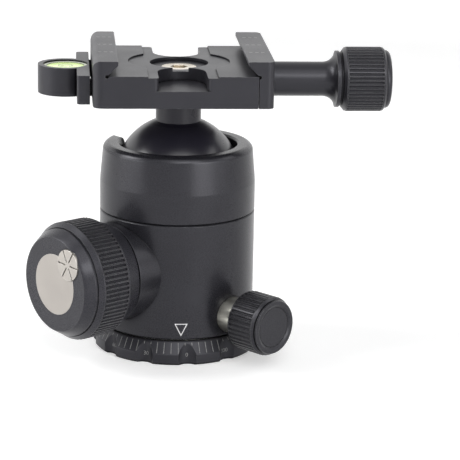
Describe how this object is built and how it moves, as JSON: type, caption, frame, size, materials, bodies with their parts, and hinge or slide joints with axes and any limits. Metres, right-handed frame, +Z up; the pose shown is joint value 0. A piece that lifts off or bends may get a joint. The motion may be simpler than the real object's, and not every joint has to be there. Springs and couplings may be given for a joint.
{
  "type": "tripod ball head",
  "caption": "Tripod ball head with drop notch, locking knob with drag wheel, pan lock, degree ring and a dovetail plate clamp with a screw knob and bubble level.",
  "frame": {"origin": "centre of the mounting face, on the panning axis, at the mouth of the tripod screw's hole", "axes": "+Z up the panning axis, +X along the clamp's screw towards its knob, the channel for the plate runs along Y"},
  "size_m": [0.093, 0.055, 0.0783],
  "materials": {
    "anodised_black": "fine bead-blasted and black anodised",
    "knob_black": "turned, knurled and black anodised",
    "ball_black": "polished hard anodised",
    "steel": "turned and brushed",
    "spring_steel": "drawn wire and strip",
    "disc_metal": "satin, clear anodised",
    "brass": "turned",
    "acetal": "moulded and faced",
    "liner_plastic": "moulded",
    "vial_clear": "clear, polished",
    "vial_fluid": "clear fluid"
  },
  "bodies": {
    "base": {"pan_base": "anodised_black", "keeper_plate": "steel", "keeper_screws": "steel", "pan_washer": "acetal"},
    "housing_body": {"housing": "anodised_black", "collar": "anodised_black", "ball_liner": "liner_plastic", "guide_plate": "steel", "main_bushing": "brass", "pan_bushing": "steel"},
    "wedge_body": {"wedge": "brass"},
    "piston": {"pressure_plate": "steel", "disc_spring": "spring_steel", "lower_cup": "acetal"},
    "main_knob_body": {"main_shaft": "steel", "main_knob": "knob_black", "knob_disc": "disc_metal", "knob_screw": "steel"},
    "drag_body": {"drag_wheel": "disc_metal"},
    "pan_pad_body": {"pan_lock_pad": "brass"},
    "pan_knob_body": {"pan_screw": "steel", "pan_knob": "knob_black", "pan_knob_cap": "knob_black"},
    "ball": {"ball_stem": "ball_black"},
    "clamp": {"clamp_base": "anodised_black", "center_screw": "steel", "level_block": "anodised_black", "level_screws": "steel", "level_vial": "vial_clear", "level_fluid": "vial_fluid", "jaw_springs": "spring_steel"},
    "jaw": {"moving_jaw": "anodised_black", "guide_pins": "steel"},
    "clamp_knob_body": {"clamp_screw": "steel", "thrust_washer": "steel", "clamp_knob": "knob_black", "clamp_knob_cap": "knob_black"}
  },
  "joints": [
    {"name": "pan", "type": "hinge", "parent": "base", "child": "housing_body", "pos_m": [0, 0, 0.015], "axis": [0, 0, 1], "continuous": true},
    {"name": "main_lock_travel", "type": "slide", "parent": "housing_body", "child": "wedge_body", "axis": [-0.7986, -0.6018, 0], "range_m": [0, 0.00125]},
    {"name": "main_lock", "type": "hinge", "parent": "wedge_body", "child": "main_knob_body", "pos_m": [-0.02396, -0.01805, 0.0225], "axis": [-0.7986, -0.6018, 0], "range_deg": [0, 360]},
    {"name": "ball_seat", "type": "slide", "parent": "housing_body", "child": "piston", "axis": [0, 0, 1], "range_m": [-0.0003, 0]},
    {"name": "drag_setting", "type": "hinge", "parent": "main_knob_body", "child": "drag_body", "pos_m": [-0.02621, -0.0267, 0.02867], "axis": [-0.7986, -0.6018, 0], "range_deg": [0, 300]},
    {"name": "pan_lock_travel", "type": "slide", "parent": "housing_body", "child": "pan_pad_body", "axis": [0.6691, -0.7431, 0], "range_m": [0, 0.0008]},
    {"name": "pan_lock", "type": "hinge", "parent": "pan_pad_body", "child": "pan_knob_body", "pos_m": [0.02007, -0.02229, 0.0115], "axis": [0.6691, -0.7431, 0], "range_deg": [0, 360]},
    {"name": "tilt", "type": "hinge", "parent": "housing_body", "child": "ball", "pos_m": [0, 0, 0.0441], "axis": [-0.7986, -0.6018, 0], "range_deg": [-38, 90]},
    {"name": "spin", "type": "hinge", "parent": "ball", "child": "clamp", "pos_m": [0, 0, 0.0441], "axis": [0, 0, 1], "continuous": true},
    {"name": "jaw_travel", "type": "slide", "parent": "clamp", "child": "jaw", "axis": [1, 0, 0], "range_m": [0, 0.006]},
    {"name": "clamp_lock", "type": "hinge", "parent": "jaw", "child": "clamp_knob_body", "pos_m": [0.03, 0, 0.07005], "axis": [1, 0, 0], "range_deg": [0, 2700]}
  ],
  "couplings": [
    {"joint": "main_lock", "follows": "main_lock_travel", "rad_per_m": 5026.5},
    {"joint": "ball_seat", "follows": "main_lock_travel", "ratio": -0.2399},
    {"joint": "pan_lock", "follows": "pan_lock_travel", "rad_per_m": 7853.9},
    {"joint": "clamp_lock", "follows": "jaw_travel", "rad_per_m": 7853.9}
  ]
}
